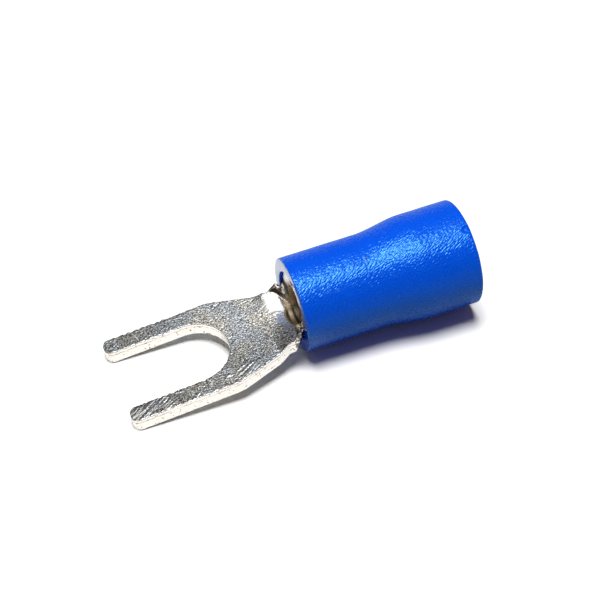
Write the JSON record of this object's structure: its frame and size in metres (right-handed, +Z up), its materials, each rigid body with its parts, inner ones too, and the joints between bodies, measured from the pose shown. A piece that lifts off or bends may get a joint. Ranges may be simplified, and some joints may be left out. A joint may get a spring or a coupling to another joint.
{
  "type": "fork terminal",
  "caption": "Insulated crimp fork terminal: a flat stamped fork with an open stud slot, a curled neck and rolled wire barrel, and a blue plastic sleeve with a funnel end for the wire.",
  "frame": {"origin": "on the wire barrel's axis, at the barrel's front edge, where the neck runs into it", "axes": "+X along the barrel's axis towards the wire, +Z up from the fork's top face, +Y across the fork"},
  "size_m": [0.0211, 0.0066, 0.0062],
  "materials": {
    "tin_plate": "tin plate on copper, grainy matt faces and bright sheared edges",
    "blue_sleeve": "satin soft vinyl with a fine leathery grain"
  },
  "bodies": {
    "root": {"fork_terminal": "tin_plate", "insulating_sleeve": "blue_sleeve"}
  },
  "joints": []
}
